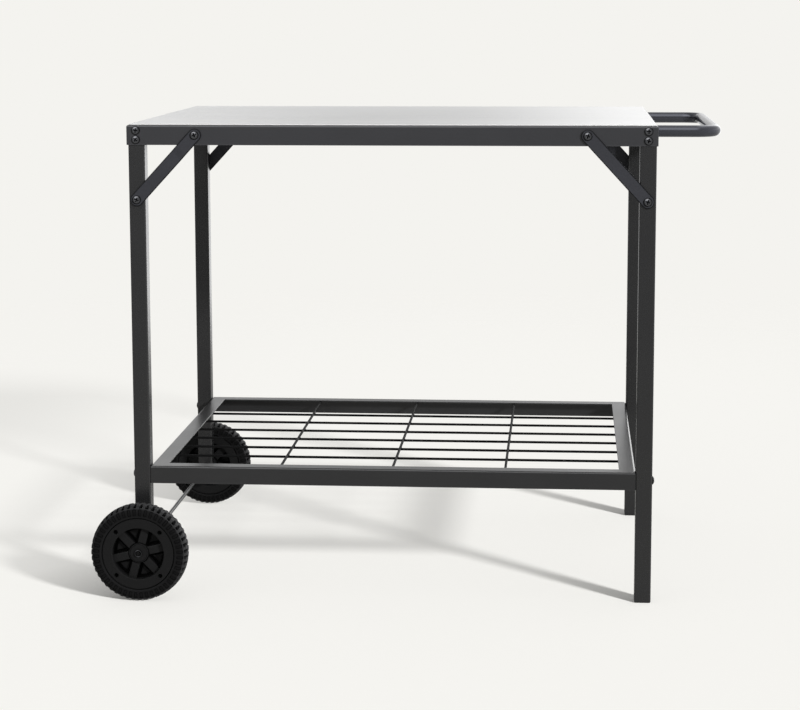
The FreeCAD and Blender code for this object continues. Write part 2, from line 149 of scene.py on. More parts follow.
# a circle carried along a path: side is each point's level normal, lift the other one, and each end
# has rows that say how far the circle is drawn in and how far it stands in along the path
def tube(path, tangent, side, lift, radius, cols, ends):
    turn = np.linspace(0, 2 * np.pi, cols, endpoint=False)
    plain = [0] * (len(path) - 2)
    inset = np.array([e[0] for e in ends] + plain + [e[0] for e in ends[::-1]])
    back = np.array([e[1] for e in ends] + plain + [-e[1] for e in ends[::-1]])
    pick = np.array([0] * len(ends) + list(range(1, len(path) - 1)) + [len(path) - 1] * len(ends))
    ring = (np.cos(turn)[None, :, None] * side[pick][:, None]
            + np.sin(turn)[None, :, None] * lift[pick][:, None]) * (radius - inset)[:, None, None]
    return path[pick][:, None] + tangent[pick][:, None] * back[:, None, None] + ring


# a straight rod with chamfered ends; its two end faces get painted shade by endShade
def rod(start, end, radius, cols, chamfer, endShade=0.0):
    start, end = np.array(start, float), np.array(end, float)
    along = (end - start) / np.linalg.norm(end - start)
    lift = np.array([0, 0, 1.0])
    stations, faceRows = 5, 4
    path, same = np.linspace(start, end, stations), np.ones((stations, 1))
    ends = [(radius, 0), (radius * 0.5, 0), (chamfer, 0), (chamfer * 0.3, chamfer * 0.3), (0, chamfer),
            (0, chamfer + flatMargin)]
    grid = tube(path, same * along, same * np.cross(along, lift), same * lift, radius, cols, ends)
    paintedShade = np.zeros((len(grid), 1))
    paintedShade[:faceRows] = paintedShade[-faceRows:] = endShade
    return surface(grid, 0.0, paintedShade)


class Term:                                     # a shader value that adds up like a number
    def __init__(self, finish, socket):
        self.finish, self.socket = finish, socket

    def join(self, operation, a, b):
        return self.finish.node("ShaderNodeMath", {"operation": operation}, {0: a, 1: b})

    def __add__(self, other): return self.join("ADD", self, other)
    def __radd__(self, other): return self.join("ADD", other, self)
    def __sub__(self, other): return self.join("SUBTRACT", self, other)
    def __rsub__(self, other): return self.join("SUBTRACT", other, self)
    def __mul__(self, other): return self.join("MULTIPLY", self, other)
    def __rmul__(self, other): return self.join("MULTIPLY", other, self)


class Finish:                                   # the nodes of a material or of the world
    def __init__(self, tree):
        self.tree = tree
        self.tree.nodes.clear()

    # adds a node: its settings first, then the values or links of its sockets
    def node(self, kind, settings=None, values=None, out=0):
        made = self.tree.nodes.new(kind)
        for key, value in (settings or {}).items():
            setattr(made, key, value)
        for key, value in (values or {}).items():
            if isinstance(value, Term):
                self.tree.links.new(value.socket, made.inputs[key])
            else:
                made.inputs[key].default_value = value
        return Term(self, made.outputs[out] if len(made.outputs) else None)

    def place(self, scale=(1, 1, 1)):            # Object coordinates, stretched
        raw = self.node("ShaderNodeTexCoord", out="Object")
        return self.node("ShaderNodeVectorMath", {"operation": "MULTIPLY"}, {0: raw, 1: scale})

    def noise(self, vector, scale, detail=2.0, rough=0.5):
        return self.node("ShaderNodeTexNoise", {}, {"Vector": vector, "Scale": scale, "Detail": detail,
                                                    "Roughness": rough})

    def blend(self, factor, a, b):               # two colours
        return self.node("ShaderNodeMix", {"data_type": "RGBA"}, {0: factor, 6: a, 7: b}, 2)

    def clip(self, value, low, high):            # 0 at low, 1 at high
        return self.node("ShaderNodeMapRange", {"clamp": True}, {0: value, 1: low, 2: high})

    def along(self, vector, axis):               # a vector's share along an axis
        return self.node("ShaderNodeVectorMath", {"operation": "DOT_PRODUCT"}, {0: vector, 1: axis}, "Value")

    def bump(self, height, strength, distance):
        values = {"Strength": strength, "Distance": distance, "Height": height}
        return self.node("ShaderNodeBump", {}, values, "Normal")

    def mark(self, name):                        # a piece's own edge or deep mark
        return self.node("ShaderNodeAttribute", {"attribute_name": name}, out="Fac")

    def end(self, **sockets):                    # the principled shader and the output
        named = {key.replace("_", " "): value for key, value in sockets.items()}
        shader = self.node("ShaderNodeBsdfPrincipled", {}, named, "BSDF")
        self.node("ShaderNodeOutputMaterial", {}, {"Surface": shader})


def newMaterial(name):
    material = bpy.data.materials.new(name)
    material.use_nodes = True
    return material, Finish(material.node_tree)


def shade(colour, factor):
    return tuple(c * factor for c in colour) + (1,)


# sizes of clouds, specks and lines, the darkest and palest share of each colour, and the height of the bump
coat = dict(cloud=11.0, speck=420.0, dark=0.7, pale=1.3, bump=0.0004)
brushed = dict(line=(2.2, 700, 40), hair=(9, 3600, 60), cloud=(1.6, 5.0, 1), spread=(0.36, 0.64), relief=0.08,
               bump=0.0003)
metal = dict(dark=0.72, pale=1.25, rubAndSheen=1.9, hollow=0.1, bump=0.0002)
mould = dict(cloud=26.0, dark=0.7, pale=1.3, hollow=0.05, bump=0.0004)


# powder coat: orange peel in the bump, faint clouds in tone and gloss, and another tone on its edges: paler
# for wear and a painted highlight, darker on the braces for a painted dark outline of shade
def powderCoat(name, colour, rough, specular, peel=850.0, relief=0.05, wearAndLightShare=0.5, wearAndLight=2.4, tint=(1, 1, 1, 1)):
    material, f = newMaterial(name)
    place = f.place()
    cloud = f.noise(place, coat["cloud"], 3.0)
    speck = f.noise(place, coat["speck"], 2.0)
    edge = f.mark("edge")
    tone = f.blend(0.5 * cloud + 0.5 * speck, shade(colour, coat["dark"]), shade(colour, coat["pale"]))
    tone = f.blend(wearAndLightShare * edge, tone, shade(colour, wearAndLight))
    f.end(Base_Color=tone, Roughness=rough - 0.05 + 0.07 * cloud + 0.05 * speck - 0.04 * edge,
          Specular_IOR_Level=specular, Specular_Tint=tint,
          Normal=f.bump(f.noise(place, peel, 2.0), relief, coat["bump"]))
    return material


# brushed sheet: long hair lines along X over wide faint clouds, with a painted highlight along its rounded
# edges
def brushedSheet(name, dark, pale, rough):
    material, f = newMaterial(name)
    line = f.noise(f.place(brushed["line"]), 1.0, 4.0, 0.65)
    hair = f.noise(f.place(brushed["hair"]), 1.0, 2.0)
    cloud = f.noise(f.place(brushed["cloud"]), 1.0, 3.0)
    edge = f.mark("edge")
    mixed = f.clip(0.5 * line + 0.2 * hair + 0.3 * cloud, *brushed["spread"])
    tone = f.blend(mixed, shade(dark, 1), shade(pale, 1))
    # painted highlight: paler along the rounded edges
    tone = f.blend(0.3 * edge, tone, shade(pale, 1))
    f.end(Base_Color=tone, Metallic=1.0, Roughness=rough - 0.12 + 0.16 * line + 0.08 * cloud + 0.1 * edge,
          Normal=f.bump(0.6 * line + 0.4 * hair, brushed["relief"], brushed["bump"]))
    return material


# drawn or plated metal: fine lines along one axis, dull blotches, paler on its marked edges, and painted
# shade where paintedShade marks recesses and cut ends
def plainMetal(name, colour, rough, stretch, blotch, relief=0.08):
    material, f = newMaterial(name)
    line = f.noise(f.place(stretch), 1.0, 3.0, 0.6)
    spot = f.noise(f.place(), blotch, 3.0)
    tone = f.blend(0.6 * line + 0.4 * spot, shade(colour, metal["dark"]), shade(colour, metal["pale"]))
    tone = f.blend(0.5 * f.mark("edge"), tone, shade(colour, metal["rubAndSheen"]))
    # painted shade: the bolts' crosses and seats, the push-on rings and the axle's end faces go dark
    tone = f.blend(f.mark("paintedShade"), tone, shade(colour, metal["hollow"]))
    f.end(Base_Color=tone, Metallic=1.0, Roughness=rough - 0.08 + 0.1 * spot + 0.06 * line,
          Normal=f.bump(line, relief, metal["bump"]))
    return material


# moulded rubber or plastic: fine grain, paler on its marked edges (a painted sheen and highlights on the tyre
# and rim, wear and a painted highlight on the feet), and painted shade black in its recesses
def moulding(name, colour, rough, specular, grain, relief, rubAndSheen, wearAndLight=4.0):
    material, f = newMaterial(name)
    place = f.place()
    fine = f.noise(place, grain, 3.0, 0.6)
    cloud = f.noise(place, mould["cloud"], 3.0)
    tone = f.blend(0.5 * fine + 0.5 * cloud, shade(colour, mould["dark"]), shade(colour, mould["pale"]))
    paintedShade = f.mark("paintedShade")
    # painted sheen and highlights on the marked edges, then painted shade in the recesses
    tone = f.blend(f.mark("edge") * rubAndSheen, tone, shade(colour, wearAndLight))
    tone = f.blend(paintedShade, tone, shade(colour, mould["hollow"]))
    f.end(Base_Color=tone, Roughness=rough - 0.06 + 0.08 * cloud + 0.04 * fine + 0.3 * paintedShade,
          Specular_IOR_Level=specular, Normal=f.bump(fine, relief, mould["bump"]))
    return material


finishes = {
    "worktop_steel": brushedSheet("brushed stainless", (0.64, 0.64, 0.635), (0.78, 0.78, 0.775), 0.30),
    "frame_paint": powderCoat("black powder coat", (0.0190, 0.0192, 0.0212), 0.30, 0.5),
    "shelf_paint": powderCoat("shelf powder coat", (0.0094, 0.0094, 0.0098), 0.29, 0.5),
    "wire_paint": powderCoat("wire coat", (0.004, 0.004, 0.0041), 0.50, 0.022, 1200.0, 0.03),
    # the handle's blue specular tint paints a bluish reflection
    "handle_paint": powderCoat("handle coat", (0.0188, 0.0192, 0.0226), 0.13, 0.7, 1000.0, 0.02,
                               tint=(0.84, 0.87, 1, 1)),
    "fastener_black": plainMetal("black oxide", (0.120, 0.122, 0.130), 0.27, (900, 900, 900), 300.0, 0.05),
    "zinc_steel": plainMetal("zinc plate", (0.46, 0.46, 0.45), 0.36, (160, 160, 160), 70.0),
    "axle_steel": plainMetal("drawn steel rod", (0.032, 0.032, 0.032), 0.34, (1500, 12, 1500), 60.0),
    "tyre_black": moulding("tyre rubber", (0.0040, 0.0040, 0.0041), 0.68, 0.08, 900.0, 0.2, 1.0, 11.0),
    "rim_plastic": moulding("rim moulding", (0.0052, 0.0052, 0.0053), 0.52, 0.11, 1300.0, 0.08, 0.20),
    "foot_plastic": moulding("foot moulding", (0.010, 0.010, 0.0102), 0.45, 0.4, 1100.0, 0.08, 0.1),
}
legCoat = powderCoat("tube powder coat", (0.0092, 0.0092, 0.0095), 0.26, 0.5)
# the bars' edges take a painted dark outline, shade along their sides over the apron and legs
braceCoat = powderCoat("bar powder coat", (0.0240, 0.0246, 0.0284), 0.45, 0.15, wearAndLightShare=0.95, wearAndLight=0.1)
slotOf = {part["node"]: part["material_slot"] for part in frame["record"]["subparts"]}
for name, node in frame["nodes"].items():
    node.data.materials.clear()
    node.data.materials.append(finishes[slotOf[name]])
print("finishes ready,", len(finishes), "slots")


def dress(node, surfaces, body="frame", sharp=35, finish=None):
    slot = slotOf[node]
    return makePiece(node + "_skin", surfaces, finish or finishes[slot], body, [node], sharp)


# worktop sheet
sheet = dict(cornerRadius=0.003, cornerSteps=6, edgeRadius=0.0006, underRadius=0.0002, edgeSteps=4)


# a rounded rectangle drawn in along its rim; its faces close on the line along its middle
def worktopSheet():
    low, high = boxOf("worktop_plate")
    half, middle = (high - low) / 2, (high + low) / 2
    ring, normal = roundedRing(half[0], half[1], sheet["cornerRadius"], sheet["cornerSteps"])
    spine = np.stack([np.clip(ring[:, 0], half[1] - half[0], half[0] - half[1]), ring[:, 1] * 0], -1)
    rows = edgeRows(low[2], high[2], sheet["underRadius"], sheet["edgeRadius"], sheet["edgeSteps"])
    grid, edge = flatPiece(ring, normal, spine, rows)
    dress("worktop_plate", [surface(grid + (middle[0], middle[1], 0), edge)])


worktopSheet()
print("worktop sheet")

# folded angles of the apron and of the shelf, which are bent alike
apron = dict(sheet=0.002, innerRadius=0.001, bendSteps=8, bendWearAndSheen=0.6, edgeRadius=0.0005, edgeSteps=3,
             cornerRadius=0.0012, cornerSteps=4)
shelf = dict(apron)


# the outer and the inner line of a folded sheet, as depth in from the face and height from the top:
# half of the lower edge, the upright leaf, the bend, the flange and half of its edge
def foldedLines(height, flange, made):
    s, e = made["sheet"], made["edgeRadius"]
    r = made["innerRadius"] + s
    t = np.linspace(0, np.pi / 2, made["edgeSteps"] + 1)
    bend = np.linspace(0, np.pi / 2, made["bendSteps"] + 1)
    foot = np.array([[s / 2, -height]])
    tip = np.array([[flange, -s / 2]])

    def line(face, out, top, bendRadius):        # out is -1 on the outer side of the sheet and 1 on the inner
        lower = np.stack([face + out * e * (np.sin(t) - 1), -height + e - e * np.cos(t)], -1)
        leaf = np.array([[face, -height + e + flatMargin], [face, -r - flatMargin]])
        fold = np.stack([r - bendRadius * np.cos(bend), -r + bendRadius * np.sin(bend)], -1)
        level = np.array([[r + flatMargin, top], [flange - e - flatMargin, top]])
        end = np.stack([flange - e + e * np.sin(t), top + out * e * (1 - np.cos(t))], -1)
        return np.concatenate([foot, lower, leaf, fold, level, end, tip])

    # edge marks: the sheet's rounded edges for wear and a painted highlight, and the middle of each bend for
    # a painted highlight with wear
    rubAndSheen = [1] * (len(t) + 1)
    bent = [made["bendWearAndSheen"] * math.sin(2 * b) for b in bend]
    wearAndLight = np.array(rubAndSheen + [0, 0] + bent + [0, 0] + rubAndSheen)
    return line(0.0, -1.0, 0.0, r), line(s, 1.0, -s, r - s), wearAndLight


# the section carried along its side; near both ends the depth grows along a quarter circle, which
# rounds the frame's upright corner, and the last row lies on the mitre, closed on the sheet's middle
def foldedSide(length, height, flange, made):
    outer, inner, wearAndLight = foldedLines(height, flange, made)
    back = slice(-2, 0, -1)
    ring = np.concatenate([outer, inner[back]])
    middle = (outer + inner) / 2
    cap = np.concatenate([middle, middle[back]])
    edge = np.concatenate([wearAndLight, np.where(wearAndLight == 1, 1, 0)[back]])
    radius = made["cornerRadius"]
    pull = np.clip(1 - ring[:, 0] / (made["innerRadius"] + made["sheet"]), 0, 1)
    pull = pull * (np.arange(len(ring)) < len(outer))
    angle = np.linspace(0, np.pi / 4, made["cornerSteps"] + 1)
    depth = ring[:, 0] + radius * (1 - np.cos(angle))[:, None] * pull
    start = length / 2 - ring[:, 0] - radius
    along = start + (np.sin(angle) / np.sin(np.pi / 4))[:, None] * (length / 2 - depth - start)
    depth = np.concatenate([depth[:1], depth, cap[None, :, 0]])
    along = np.concatenate([along[:1] - flatMargin, along, (length / 2 - cap[:, 0])[None]])
    rise = np.concatenate([np.broadcast_to(ring[:, 1], (len(angle) + 1, len(ring))), cap[None, :, 1]])
    right = np.stack([along, depth, rise], -1)
    return np.concatenate([right[::-1] * (-1, 1, 1), right]), edge


# the front side turned to each of the four sides of its frame
def angleFrame(prefix, suffix, made):
    boxes = [boxOf(prefix + side + suffix) for side in ("front", "rear", "left", "right")]
    low = np.min([b[0] for b in boxes], 0)
    high = np.max([b[1] for b in boxes], 0)
    middle, size = (low + high) / 2, high - low
    flange = (boxes[0][1] - boxes[0][0])[1]
    for side, long, across, c, s in (("front", 0, 1, 1, 0), ("right", 1, 0, 0, 1), ("rear", 0, 1, -1, 0),
                                     ("left", 1, 0, 0, -1)):
        grid, edge = foldedSide(size[long], size[2], flange, made)
        x, y = grid[..., 0], grid[..., 1] - size[across] / 2
        placed = np.stack([middle[0] + c * x - s * y, middle[1] + s * x + c * y, high[2] + grid[..., 2]], -1)
        dress(prefix + side + suffix, [surface(placed, edge)])


angleFrame("", "_apron", apron)
angleFrame("shelf_", "_rail", shelf)
print("apron and shelf frames")

# legs, feet and plugs
leg = dict(cornerRadius=0.0025, cornerSteps=6, cornerWearAndSheen=0.7, endRadius=0.0004, footRadius=0.0020,
           footTopRadius=0.0001, footHeight=0.003)


# a rounded square drawn up from its low end to its high end, both edges softened, its corners marked for wear
# and a painted highlight
def squareBar(low, high, lowRadius, highRadius):
    half, middle = (high - low) / 2, (high + low) / 2
    ring, normal = roundedRing(half[0], half[1], leg["cornerRadius"], leg["cornerSteps"])
    arc = np.sin(np.linspace(0, np.pi, leg["cornerSteps"] + 1))
    corner = np.tile(np.concatenate([[0], arc, [0]]), 4)
    grid, _ = flatPiece(ring, normal, ring * 0, edgeRows(low[2], high[2], lowRadius, highRadius))
    return surface(grid + (middle[0], middle[1], 0), leg["cornerWearAndSheen"] * corner)


for row in ("front", "rear"):
    for side, foot in (("left", "_leg_plug"), ("right", "_foot")):
        low, high = boxOf(row + "_" + side + "_leg")
        bar = squareBar(low, high, leg["endRadius"], leg["endRadius"])
        dress(row + "_" + side + "_leg", [bar], finish=legCoat)
        low, high = boxOf(row + "_" + side + foot)
        high[2] = low[2] + leg["footHeight"]
        dress(row + "_" + side + foot, [squareBar(low, high, leg["footRadius"], leg["footTopRadius"])])
print("legs and feet")

# corner braces
brace = dict(width=0.020, thickness=0.003, run=0.090, drop=0.098, edgeRadius=0.0010,
             joggleMargin=0.001, joggleLength=0.010, bendFar=0.002, bendNear=0.0007, bendPast=0.0012,
             bendSoft=0.001, bendShare=0.1, endSteps=24)


# a bar with round ends, drawn flat and lifted along its length by the joggle, then turned to its corner
def cornerBrace(row, side):
    w, run, drop = brace["width"] / 2, brace["run"], brace["drop"]
    length = math.hypot(run, drop)
    legLow, legHigh = boxOf(row + "_" + side + "_leg")
    faceLow, faceHigh = boxOf(row + "_apron")
    start = ((faceHigh[2] - faceLow[2]) / 2 + brace["joggleMargin"] + w * run / length) * length / drop
    stop = start + brace["joggleLength"]
    far, near, past = brace["bendFar"], brace["bendNear"], brace["bendPast"]
    runs = np.array([0, start * 0.5, start - far, start - near, start, start + past, (start + stop) / 2,
                     stop - past, stop, stop + near, stop + far, (stop + length) / 2, length])
    turn = np.linspace(-np.pi / 2, np.pi / 2, brace["endSteps"] + 1)[1:-1]
    straight = np.stack([runs, runs * 0 - w], -1)
    lowEnd = np.stack([length + w * np.cos(turn), w * np.sin(turn)], -1)
    highEnd = np.stack([-w * np.cos(turn), -w * np.sin(turn)], -1)
    outline = np.concatenate([straight, lowEnd, straight[::-1] * (1, -1), highEnd])
    spine = np.stack([np.clip(outline[:, 0], 0, length), outline[:, 1] * 0], -1)
    rows = edgeRows(0, brace["thickness"], brace["edgeRadius"], brace["edgeRadius"])
    grid, edge = flatPiece(outline, (outline - spine) / w, spine, rows)
    step = faceHigh[1] - legHigh[1] if row == "rear" else legLow[1] - faceLow[1]
    soft, share = brace["bendSoft"], brace["bendShare"]
    sink = np.interp(grid[..., 0], [start - soft, start + soft, stop - soft, stop + soft],
                     [0, step * share, step * (1 - share), step])
    along, across, out = grid[..., 0], grid[..., 1], grid[..., 2] - sink
    xSign, ySign = (-1 if side == "left" else 1), (-1 if row == "front" else 1)
    topX = (legLow[0] + legHigh[0]) / 2 - xSign * run
    topY = faceLow[1] if row == "front" else faceHigh[1]
    c, s = xSign * run / length, drop / length
    placed = np.stack([topX + along * c + across * s, topY + ySign * out,
                       (faceLow[2] + faceHigh[2]) / 2 - along * s + across * c], -1)
    dress(row + "_" + side + "_brace", [surface(placed, edge)], finish=braceCoat)


for row in ("front", "rear"):
    for side in ("left", "right"):
        cornerBrace(row, side)
print("braces")

# bolts
bolt = dict(head=0.0065, height=0.0036, rim=0.0012, rimHeights=(0.0010, 0.0004, 0.0002), rimRound=0.0002,
            rimShadow=(0.1, 0.4, 0.8, 1, 1, 1, 1, 1, 1), shank=0.003, tipChamfer=0.0005, tipShare=0.82,
            slotLength=0.0034, slotWidth=0.0009, slotDepth=0.0021, slotTaper=0.5, slotWall=(0.0002, -0.0003),
            slotEdge=(0.0004, 0.0001), slotReach=0.0038, slotRows=18, domeStart=0.0043, domeRows=6,
            cornerSpacing=0.014, cols=72, seed=7, draws=40)


# a domed head over a polar grid, less a tapered cross, then the rim and the seat; a shank may go on below
def boltSurface(place, outward, spin, shank):
    cols = bolt["cols"]
    head, dome = bolt["head"], bolt["height"] - bolt["rim"]
    curve = (head ** 2 + dome ** 2) / (2 * dome)
    inner = np.linspace(0, bolt["slotReach"], bolt["slotRows"])
    outer = np.linspace(bolt["domeStart"], head - bolt["rimRound"], bolt["domeRows"])
    radii = np.concatenate([inner, outer])[:, None]
    turn = np.linspace(0, 2 * np.pi, cols, endpoint=False)
    u, v = radii * np.cos(turn - spin), radii * np.sin(turn - spin)
    wide, long = bolt["slotWidth"], bolt["slotLength"]
    cross = np.minimum(np.maximum(abs(u) - wide, abs(v) - long), np.maximum(abs(v) - wide, abs(u) - long))
    sunk = smooth(*bolt["slotWall"], cross)
    high = bolt["height"] - curve + np.sqrt(curve ** 2 - radii ** 2)
    high = high - bolt["slotDepth"] * (1 - bolt["slotTaper"] * radii / long) * sunk
    below = [(head, level) for level in bolt["rimHeights"]] + [(head - bolt["rimRound"], 0.0)]
    tip = [(bolt["shank"], 0.0), (bolt["shank"], bolt["tipChamfer"] - shank),
           (bolt["shank"] * bolt["tipShare"], -shank), (0, -shank)]
    low = np.array(below + (tip if shank else [(0, 0.0)]))
    radius = np.concatenate([radii, low[:, :1]])
    height = np.concatenate([high, np.broadcast_to(low[:, 1:], (len(low), cols))])
    outward, lift = np.array(outward, float), np.array([0, 0, 1.0])
    around = np.cos(turn)[:, None] * np.cross(lift, outward) + np.sin(turn)[:, None] * lift
    grid = np.array(place) + radius[..., None] * around + height[..., None] * outward
    # the lip round the cross is paler; the cross gets painted shade and the rim above the seat a painted
    # contact shadow
    lip = smooth(*bolt["slotEdge"], abs(cross - bolt["slotWall"][0]))
    edge = np.concatenate([lip, np.zeros((len(low), cols))])
    paintedShade = np.concatenate([sunk, np.zeros((len(low), cols))])
    seat = len(radii) + len(below)
    paintedShade[seat - len(bolt["rimShadow"]):seat] = np.array(bolt["rimShadow"])[:, None]
    return surface(grid, edge, paintedShade)


spins = iter(np.random.default_rng(bolt["seed"]).uniform(0, math.pi / 2, bolt["draws"]))
for row, ySign in (("front", -1), ("rear", 1)):
    faceLow, faceHigh = boxOf(row + "_apron")
    face = faceLow[1] if row == "front" else faceHigh[1]
    level = (faceLow[2] + faceHigh[2]) / 2
    for side, xSign in (("left", -1), ("right", 1)):
        corner = row + "_" + side
        legLow, legHigh = boxOf(corner + "_leg")
        legX = (legLow[0] + legHigh[0]) / 2
        legFace = legLow[1] if row == "front" else legHigh[1]
        out, apart = ySign * brace["thickness"], bolt["cornerSpacing"] / 2
        places = [(legX, face, level - apart), (legX, face, level + apart),
                  (legX, legFace + out, level - brace["drop"]),
                  (legX - xSign * brace["run"], face + out, level)]
        dress(corner + "_bolts", [boltSurface(p, (0, ySign, 0), next(spins), 0) for p in places], sharp=50)
        low, high = boxOf(corner + "_shelf_bolt")
        seat = (legHigh[0] if side == "right" else legLow[0], (low[1] + high[1]) / 2, (low[2] + high[2]) / 2)
        shaft = high[0] - low[0] - bolt["height"]
        dress(corner + "_shelf_bolt", [boltSurface(seat, (xSign, 0, 0), next(spins), shaft)], sharp=50)
print("bolts")

# shelf wires
wire = dict(longPitch=0.071, longCount=6, crossCount=3, cols=20, chamfer=0.0004, spotSpread=1.2,
            spotRise=1.05, spotRows=7, spotCols=12)


# a low rounded spot where two wires are welded: an ellipsoid between their middles
def weldSpot(x, y, z, radius):
    a, b = np.meshgrid(np.linspace(0, np.pi, wire["spotRows"]),
                       np.linspace(0, 2 * np.pi, wire["spotCols"], endpoint=False), indexing="ij")
    wide, tall = radius * wire["spotSpread"], radius * wire["spotRise"]
    return surface(np.stack([x + wide * np.sin(a) * np.cos(b), y + wide * np.sin(a) * np.sin(b),
                             z + tall * np.cos(a)], -1))


longLow, longHigh = boxOf("shelf_long_wires")
crossLow, crossHigh = boxOf("shelf_cross_wires")
wireRadius = (longHigh[2] - longLow[2]) / 2
longZ, crossZ = (longLow[2] + longHigh[2]) / 2, (crossLow[2] + crossHigh[2]) / 2
wireYs = (np.arange(wire["longCount"]) - (wire["longCount"] - 1) / 2) * wire["longPitch"]
wireXs = np.linspace(crossLow[0] + wireRadius, crossHigh[0] - wireRadius, wire["crossCount"])
wireForm = (wireRadius, wire["cols"], wire["chamfer"])
longRods = [rod((longLow[0], y, longZ), (longHigh[0], y, longZ), *wireForm) for y in wireYs]
spots = [weldSpot(x, y, (longZ + crossZ) / 2, wireRadius) for x in wireXs for y in wireYs]
crossRods = [rod((x, crossLow[1], crossZ), (x, crossHigh[1], crossZ), *wireForm) for x in wireXs]
dress("shelf_long_wires", longRods + spots, sharp=50)
dress("shelf_cross_wires", crossRods, sharp=50)
print("shelf wires")

# push handle
handle = dict(radius=0.009, bendRadius=0.030, span=0.410, cols=40, bendSteps=20, rootLead=0.02,
              bendLead=0.005, barLead=0.004, endChamfer=0.0003)


# a circle carried along two arms, two quarter bends and the crossbar
def pushHandle():
    low, high = boxOf("handle")
    z, root = (low[2] + high[2]) / 2, boxOf("right_apron")[1][0]
    barX, armY, r = high[0] - handle["radius"], handle["span"] / 2, handle["bendRadius"]
    turn = np.linspace(0, np.pi / 2, handle["bendSteps"] + 1)
    arc = np.stack([barX - r + r * np.sin(turn), -armY + r - r * np.cos(turn), turn * 0 + z], -1)
    lead = np.array([[root, -armY, z], [root + handle["rootLead"], -armY, z],
                     [barX - r - handle["bendLead"], -armY, z]])
    bar = np.array([[barX, -armY + r + handle["barLead"], z], [barX, 0, z]])
    half = np.concatenate([lead, arc, bar])
    path = np.concatenate([half, half[-2::-1] * (1, -1, 1)])
    heading = np.concatenate([turn[:1].repeat(len(lead)), turn, turn[-1:].repeat(len(bar))])
    heading = np.concatenate([heading, np.pi - heading[-2::-1]])
    tangent = np.stack([np.cos(heading), np.sin(heading), heading * 0], -1)
    side = np.stack([np.sin(heading), -np.cos(heading), heading * 0], -1)
    lift = np.broadcast_to([0, 0, 1.0], side.shape)
    chamfer = handle["endChamfer"]
    ends = [(handle["radius"], 0), (chamfer, 0), (0, chamfer), (0, chamfer + flatMargin)]
    grid = tube(path, tangent, side, lift, handle["radius"], handle["cols"], ends)
    dress("handle", [surface(grid)], sharp=50)


pushHandle()
print("handle")

# axle and the push-on rings at its ends
axle = dict(cols=32, chamfer=0.0005, endShade=0.4)
retainer = dict(cols=64, bore=0.00302, dish=0.0009)

axleLow, axleHigh = boxOf("axle")
axleX, axleZ = (axleLow[0] + axleHigh[0]) / 2, (axleLow[2] + axleHigh[2]) / 2
dress("axle", [rod((axleX, axleLow[1], axleZ), (axleX, axleHigh[1], axleZ), (axleHigh[0] - axleLow[0]) / 2,
                   axle["cols"], axle["chamfer"], axle["endShade"])], sharp=50)


# a ring turned from its section, as radius and distance out: bore, dished face, rounded lip and outside
def pushRing(row, ySign):
    low, high = boxOf(row + "_axle_retainer")
    outer, thick = (high[0] - low[0]) / 2, high[1] - low[1]
    face = low[1] if row == "front" else high[1]
    bore, dish = retainer["bore"], retainer["dish"]
    section = np.array([[bore, -thick], [bore, -dish - 0.0001], [bore + 0.0002, -dish],
                        [bore + 0.0009, -dish], [bore + 0.0012, -0.7 * dish], [bore + 0.0014, -0.2 * dish],
                        [bore + 0.0017, 0], [outer - 0.0004, 0], [outer - 0.0001, -0.0002],
                        [outer, -0.0005], [outer, -thick]])
    # painted shade over the bore, the dish and the outside; the rounded lip is paler
    paintedShade = np.array([1, 1, 1, 1, 1, 0.8, 0.5, 0.5, 0.6, 0.8, 1.0])[:, None]
    edge = np.array([0, 0, 0, 0, 0, 0.2, 0.4, 0.4, 0.2, 0, 0.0])[:, None]
    turn = np.linspace(0, 2 * np.pi, retainer["cols"], endpoint=False)
    radius, out = section[:, :1], section[:, 1:] + 0 * turn
    grid = np.stack([axleX + radius * np.cos(turn), face + ySign * out, axleZ + radius * np.sin(turn)], -1)
    dress(row + "_axle_retainer", [surface(grid, edge, paintedShade, True)], sharp=50)


pushRing("front", -1)
pushRing("rear", 1)
print("axle and push-on rings")

# wheels, in millimetres about their own axle and outer side, then set in place
# the Shade weights paint shade in notches, grooves and slots; the Sheen weights a painted sheen and
# highlights
tyre = dict(lugs=48, notchHalf=2.4, notchRun=(9.0, 17.4), notchDepth=5.4, treadCorner=0.5,
            grooveHalf=1.75, grooveRun=(0.85, 11.0), grooveDepth=2.2, grooveShade=0.3,
            slotHalf=2.15, slotRadius=(69.9, 60.3), slotCorner=1.0, slotDepth=1.0, slotShade=0.16,
            slotLine=(0.65, 0.1), slotOutlineShade=0.8, soft=0.3, treadSheen=0.7, treadEnd=(12, 8),
            shoulderSheen=0.35, shoulderStart=(9, 12), shoulderEnd=(21, 17.5),
            lipSheen=0.04, lipRadius=57.3, lipHalf=0.5, middle=65.0)
rim = dict(side=18.5, window=40.0, windowRound=0.9, evenRadii=(40.2, 43.0), lineRadii=(54.7, 55.9),
           lineDrop=1.7, spokes=6, spokeHalf=6.0, draft=0.45, spokeFace=11.0, spokeAngle=14.0, lipShare=0.5,
           footShare=0.55, bevelShare=0.43, bevelDrop=0.5, rootRadii=(16.6, 15.5), rootDrop=3.0, moat=0.5,
           island=2.2, islandGap=4.2, islandSoft=0.4, islandPale=0.85, hub=14.9, hubFront=13.0, hubBack=26.2,
           hubMargin=0.05, windowMargin=0.1, holes=4, holeRadius=3.2, holeSoft=0.3, holeCircle=48.0,
           holeAngle=45.0, holeDepth=5.0, cols=96)


# a wheel's own radius, angle and distance outwards, as a place on the cart
def wheelPlace(row, radius, angle, out):
    low, high = boxOf(row + "_tyre")
    middle = (low + high) / 2
    ySign = -1 if row == "front" else 1
    return np.stack([middle[0] + radius * np.cos(angle) / 1000, middle[1] + ySign * out / 1000,
                     middle[2] - ySign * radius * np.sin(angle) / 1000], -1)


